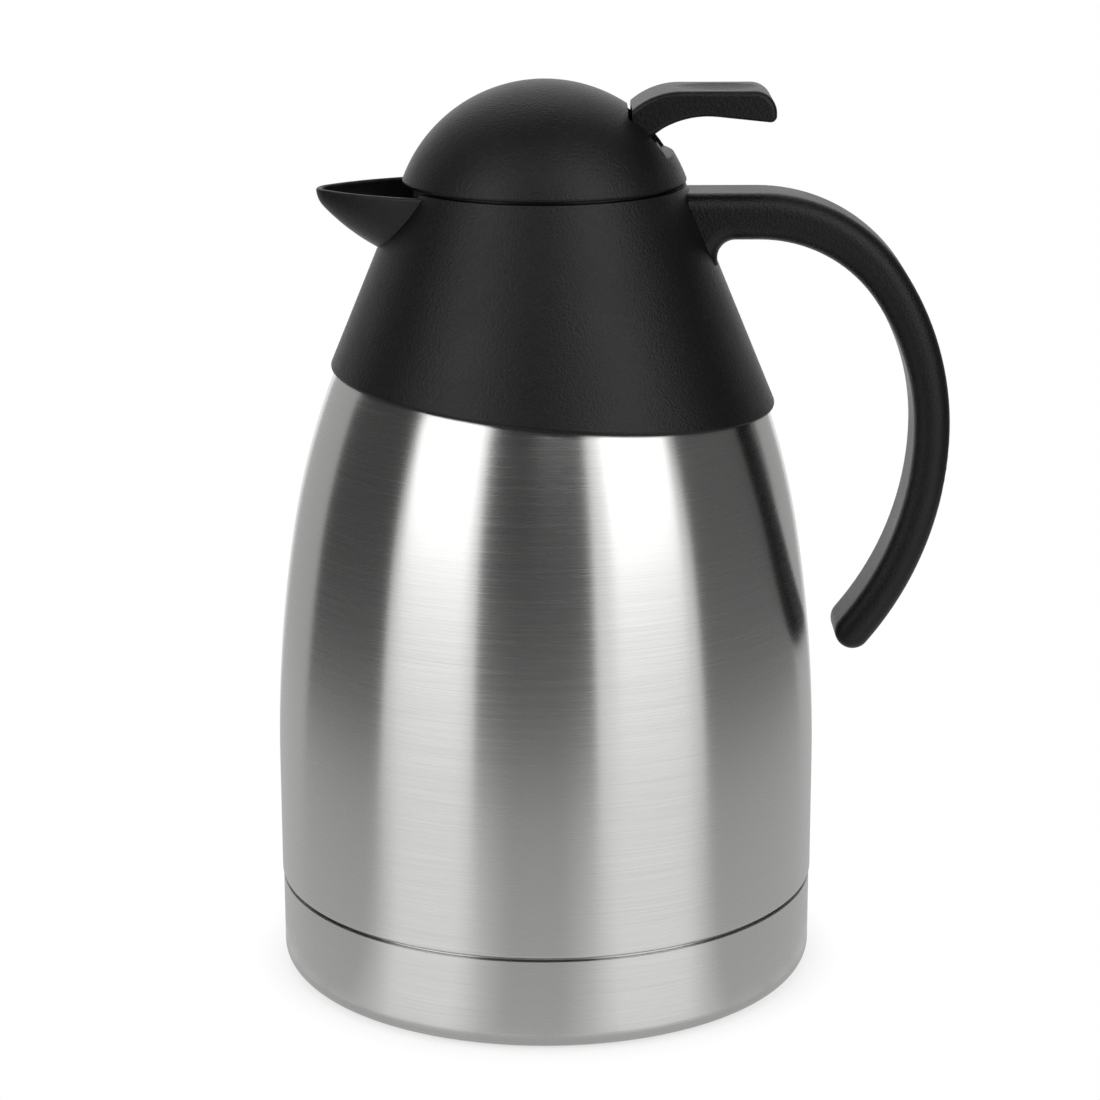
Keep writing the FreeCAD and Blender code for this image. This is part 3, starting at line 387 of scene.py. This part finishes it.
class Profile:
    """Half section of a turned piece, drawn as lines and tangent bends."""

    def __init__(self, x, z):
        self.points = [(x, z)]

    def line(self, *points):
        """Straight on to each point."""
        self.points += points

    def bend(self, heading, radius, turn, steps):
        """Arc that starts along a heading and turns by an angle, to the left where it is positive."""
        side = math.copysign(QUARTER_TURN, turn)
        x, z = self.points[-1]
        start = math.radians(heading + side)
        centre_x = x + radius * math.cos(start)
        centre_z = z + radius * math.sin(start)
        for step in range(1, steps + 1):
            angle = math.radians(heading + side + turn * step / steps)
            self.points.append((centre_x - radius * math.cos(angle), centre_z - radius * math.sin(angle)))

    def thicken(self, wall):
        """Close the section with a second line inside the first."""
        inner = []
        last = len(self.points) - 1
        for index, (x, z) in enumerate(self.points):
            before = Vector(self.points[max(index - 1, 0)])
            after = Vector(self.points[min(index + 1, last)])
            along = (after - before).normalized()
            inner.append((x - wall * along.y, z + wall * along.x))
        self.points += reversed(inner)


def lathe(name, profile):
    """Turn a closed section of brushed steel round the axis."""
    count = len(profile.points)
    corners = []
    faces = []
    for step in range(LATHE_STEPS):
        angle = 2 * math.pi * step / LATHE_STEPS
        corners += [(x * math.cos(angle), x * math.sin(angle), z) for x, z in profile.points]
        ring = count * step
        following = count * ((step + 1) % LATHE_STEPS)
        for index in range(count):
            above = (index + 1) % count
            faces.append((ring + index, following + index, following + above, ring + above))
    item = add_mesh(name, corners, faces, FINISHES["steel_brushed"])
    smooth(item, STEEL_SHARP_ANGLE)
    return item


def make_barrel():
    """Brushed barrel with its rolled hem above the seam."""
    profile = Profile(SPIGOT_RADIUS, SPIGOT_FOOT)
    profile.line((SPIGOT_RADIUS, SHELL_FOOT), (BARREL_RADIUS - SHELL_HEM, SHELL_FOOT))
    profile.bend(OUTWARD, SHELL_HEM, QUARTER_TURN, HEM_STEPS)
    profile.line((BARREL_RADIUS, BELLY_START))
    heading = UPWARD
    for radius, turn in (
        (BELLY_CURVE, BELLY_TURN),
        (SHOULDER_CURVE, SHOULDER_TURN),
        (CROWN_CURVE, CROWN_TURN),
    ):
        profile.bend(heading, radius, turn, BEND_STEPS)
        heading += turn
    profile.thicken(SHELL_WALL)
    settle(lathe("barrel", profile), "outer_shell", "flask")


def make_base():
    """Steel cup with a rounded foot and a recessed underside."""
    bore = BASE_RADIUS - BASE_WALL
    foot_outer = BASE_RADIUS - BASE_ROUND
    recess = FOOT_INNER - FOOT_RECESS
    floor_top = FOOT_RECESS + BASE_WALL
    profile = Profile(0, FOOT_RECESS)
    profile.line((recess, FOOT_RECESS), (FOOT_INNER, 0), (foot_outer, 0))
    profile.bend(OUTWARD, BASE_ROUND, QUARTER_TURN, ROUND_STEPS)
    profile.line((BASE_RADIUS, BASE_HEIGHT), (bore, BASE_HEIGHT), (bore, BASE_ROUND))
    profile.bend(DOWNWARD, BASE_ROUND - BASE_WALL, -QUARTER_TURN, ROUND_STEPS)
    profile.line((FOOT_INNER + BASE_WALL, BASE_WALL), (recess + BASE_WALL, floor_top), (0, floor_top))
    settle(lathe("base", profile), "base_cup", "flask")


def make_spring():
    """Coil of round wire in the valve spring's place."""
    low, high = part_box("valve_spring")
    foot = low[2] + SPRING_WIRE / 2
    rise = (high[2] - low[2] - SPRING_WIRE) / SPRING_TURNS
    steps = SPRING_TURNS * SPRING_STEPS_PER_TURN
    corners = []
    for step in range(steps + 1):
        turns = SPRING_TURNS * step / steps
        angle = 2 * math.pi * turns
        outward = Vector((math.cos(angle), math.sin(angle), 0))
        centre = outward * SPRING_RADIUS + Vector((0, 0, foot + rise * turns))
        for side in range(SPRING_SIDES):
            around = 2 * math.pi * side / SPRING_SIDES
            rim = outward * math.cos(around) + Vector((0, 0, math.sin(around)))
            corners.append(centre + rim * SPRING_WIRE / 2)
    first_end = range(SPRING_SIDES)
    last_end = range(steps * SPRING_SIDES, (steps + 1) * SPRING_SIDES)
    faces = [tuple(first_end), tuple(last_end)]
    for step in range(steps):
        ring = step * SPRING_SIDES
        following = ring + SPRING_SIDES
        for side in range(SPRING_SIDES):
            beside = (side + 1) % SPRING_SIDES
            faces.append((ring + side, ring + beside, following + beside, following + side))
    coil = add_mesh("spring_coil", corners, faces, FINISHES["spring_steel"])
    smooth(coil, SPRING_SHARP_ANGLE)
    settle(coil, "valve_spring", "lid")
    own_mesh(coil)


def seen_by_rays(tree):
    """1 for the rays that should see the backdrop: from the camera, and through gloss and glass."""
    path = tree.nodes.new("ShaderNodeLightPath")
    total = path.outputs["Is Camera Ray"]
    for name in ("Is Glossy Ray", "Is Transmission Ray"):
        highest = tree.nodes.new("ShaderNodeMath")
        highest.operation = "MAXIMUM"
        tree.links.new(total, highest.inputs[0])
        tree.links.new(path.outputs[name], highest.inputs[1])
        total = highest.outputs["Value"]
    return total


def make_world():
    """White backdrop all round, with a softer level for the light it throws on the object."""
    world = bpy.data.worlds.new("studio")
    world.use_nodes = True
    tree = world.node_tree
    level = tree.nodes.new("ShaderNodeMapRange")
    level.inputs["To Min"].default_value = AMBIENT
    level.inputs["To Max"].default_value = 1.0
    tree.links.new(seen_by_rays(tree), level.inputs["Value"])
    background = tree.nodes["Background"]
    background.inputs["Color"].default_value = WHITE
    tree.links.new(level.outputs["Result"], background.inputs["Strength"])
    bpy.context.scene.world = world


def floor_material():
    """Pale floor that keeps the shadow near the object and fades to the white backdrop."""
    shader = Shader("floor")
    shader.finish(Base_Color=FLOOR_TONE, Roughness=0.9, Specular_IOR_Level=0.1)
    distance = shader.add("VectorMath", {0: shader.place((1, 1, 1))}, operation="LENGTH").outputs["Value"]
    far = shader.spread(distance, 0.0, 1.0, FLOOR_NEAR, FLOOR_FAR)
    share = shader.add("Math", {0: far, 1: seen_by_rays(shader.tree)}, operation="MULTIPLY").outputs["Value"]
    return shader.use(shader.overlay(share, shader.surface.outputs["BSDF"], shader.glow(1.0)))


def make_floor():
    """Large square under the object."""
    half = FLOOR_SIZE / 2
    corners = [(-half, -half, 0), (half, -half, 0), (half, half, 0), (-half, half, 0)]
    add_mesh("floor", corners, [(0, 1, 2, 3)], floor_material())


def round_about(azimuth, distance, height):
    """A point at an azimuth round the object's axis."""
    angle = math.radians(azimuth)
    return Vector((distance * math.sin(angle), -distance * math.cos(angle), height))


def softbox(name, place, width, height, power):
    """A large soft lamp that faces the object."""
    lamp = bpy.data.lights.new(name, "AREA")
    lamp.shape = "RECTANGLE"
    lamp.size = width
    lamp.size_y = height
    lamp.energy = power
    item = bpy.data.objects.new(name, lamp)
    item.location = place
    item.rotation_mode = "QUATERNION"
    item.rotation_quaternion = (LAMP_AIM - place).to_track_quat("-Z", "Y")
    bpy.context.scene.collection.objects.link(item)


def side_softbox(name, azimuth):
    """A tall soft lamp beside the camera."""
    place = round_about(azimuth, SIDE_LAMP_DISTANCE, SIDE_LAMP_LEVEL)
    softbox(name, place, SIDE_LAMP_WIDTH, SIDE_LAMP_HEIGHT, SIDE_LAMP_POWER)


def reflected(name, corners, faces, tone, cover=None):
    """A screen that is seen only in reflections, and that thins out where its cover falls below 1."""
    shader = Shader(name)
    surface = shader.glow(tone)
    if cover:
        share = shader.add("Attribute", {}, attribute_name="cover").outputs["Fac"]
        clear = shader.add("BsdfTransparent", {}).outputs["BSDF"]
        surface = shader.overlay(share, clear, surface)
    item = add_mesh(name, corners, faces, shader.use(surface))
    if cover:
        item.data.attributes.new("cover", "FLOAT", "POINT").data.foreach_set("value", cover)
    item.visible_camera = False
    item.visible_diffuse = False
    item.visible_shadow = False
    item.visible_transmission = False


def arc(sides, distance, height):
    """A row of points round the object between two azimuths."""
    first, last = sides
    share = (last - first) / SCREEN_STEPS
    return [round_about(first + share * step, distance, height) for step in range(SCREEN_STEPS + 1)]


def strip(name, lower, upper, tone, cover=None):
    """A screen between two rows of points."""
    corners = [point for pair in zip(lower, upper) for point in pair]
    faces = [(2 * step, 2 * step + 2, 2 * step + 3, 2 * step + 1) for step in range(SCREEN_STEPS)]
    reflected(name, corners, faces, tone, cover)


def widen(sides, fades):
    """Two azimuths, each moved out by half of its fade."""
    return sides[0] - fades[0] / 2, sides[1] + fades[1] / 2


def ramp(distance, width):
    """A rise from 0 to 1 over a width, or 1 throughout where the width is 0."""
    return min(distance / width, 1) if width else 1


def flag(name, screen, foot, tone, fades):
    """A dark screen between two azimuths, with a card on the floor that fades at its sides."""
    strip(
        name,
        arc(screen, SCREEN_DISTANCE, CARD_HEIGHT),
        arc(screen, SCREEN_DISTANCE, SCREEN_HEIGHT),
        tone,
    )
    near = widen(foot, fades)
    span = near[1] - near[0]
    cover = []
    for step in range(SCREEN_STEPS + 1):
        from_start = span * step / SCREEN_STEPS
        share = min(ramp(from_start, fades[0]), ramp(span - from_start, fades[1]))
        cover += [share, share]
    strip(
        f"{name}_card",
        arc(near, CARD_START, CARD_HEIGHT),
        arc(widen(screen, fades), SCREEN_DISTANCE, CARD_HEIGHT),
        CARD_TONE,
        cover,
    )


def canopy():
    """A dark screen over the object."""
    step_angle = 360 / SCREEN_STEPS
    steps = range(SCREEN_STEPS)
    corners = [round_about(step_angle * step, SCREEN_DISTANCE, SCREEN_HEIGHT) for step in steps]
    reflected("canopy", corners, [tuple(steps)], CANOPY_TONE)


def rim_card():
    """A grey glowing ring on the floor, seen only in reflections, that paints a darker reflection along the
    base's lower edge.
    """
    start = arc(RIM_SIDES, RIM_START, CARD_HEIGHT)
    end = arc(RIM_SIDES, RIM_END, CARD_HEIGHT)
    strip("rim_card", start, end, RIM_TONE)


def panel():
    """A bright screen high on the right, for the soft highlights of the plastic."""
    lower = arc(PANEL_SIDES, PANEL_DISTANCE, PANEL_FOOT)
    upper = arc(PANEL_SIDES, PANEL_DISTANCE, PANEL_TOP)
    strip("panel", lower, upper, PANEL_TONE)


def make_studio():
    """Backdrop, floor, lamps and screens."""
    make_world()
    make_floor()
    side_softbox("softbox_left", LEFT_LAMP_AZIMUTH)
    side_softbox("softbox_right", RIGHT_LAMP_AZIMUTH)
    softbox("softbox_top", TOP_LAMP_PLACE, TOP_LAMP_SIZE, TOP_LAMP_SIZE, TOP_LAMP_POWER)
    for name, (screen, foot, tone, fades) in FLAGS.items():
        flag(name, screen, foot, tone, fades)
    canopy()
    rim_card()
    panel()


def make_camera():
    """Long lens at the photograph's place."""
    data = bpy.data.cameras.new("camera")
    data.sensor_width = SENSOR_MM
    data.lens = SENSOR_MM * FOCAL_PIXELS / FRAME_PIXELS
    camera = bpy.data.objects.new("camera", data)
    place = Matrix.Translation((0, -CAMERA_DISTANCE, CAMERA_HEIGHT))
    turn = Matrix.Rotation(CAMERA_YAW, 4, "Z") @ Matrix.Rotation(math.pi / 2 - CAMERA_PITCH, 4, "X")
    camera.matrix_world = place @ turn @ Matrix.Rotation(CAMERA_ROLL, 4, "Z")
    bpy.context.scene.collection.objects.link(camera)
    bpy.context.scene.camera = camera


dress_nodes()
make_barrel()
make_base()
make_spring()
make_studio()
make_camera()
bpy.context.scene.view_settings.view_transform = "Standard"
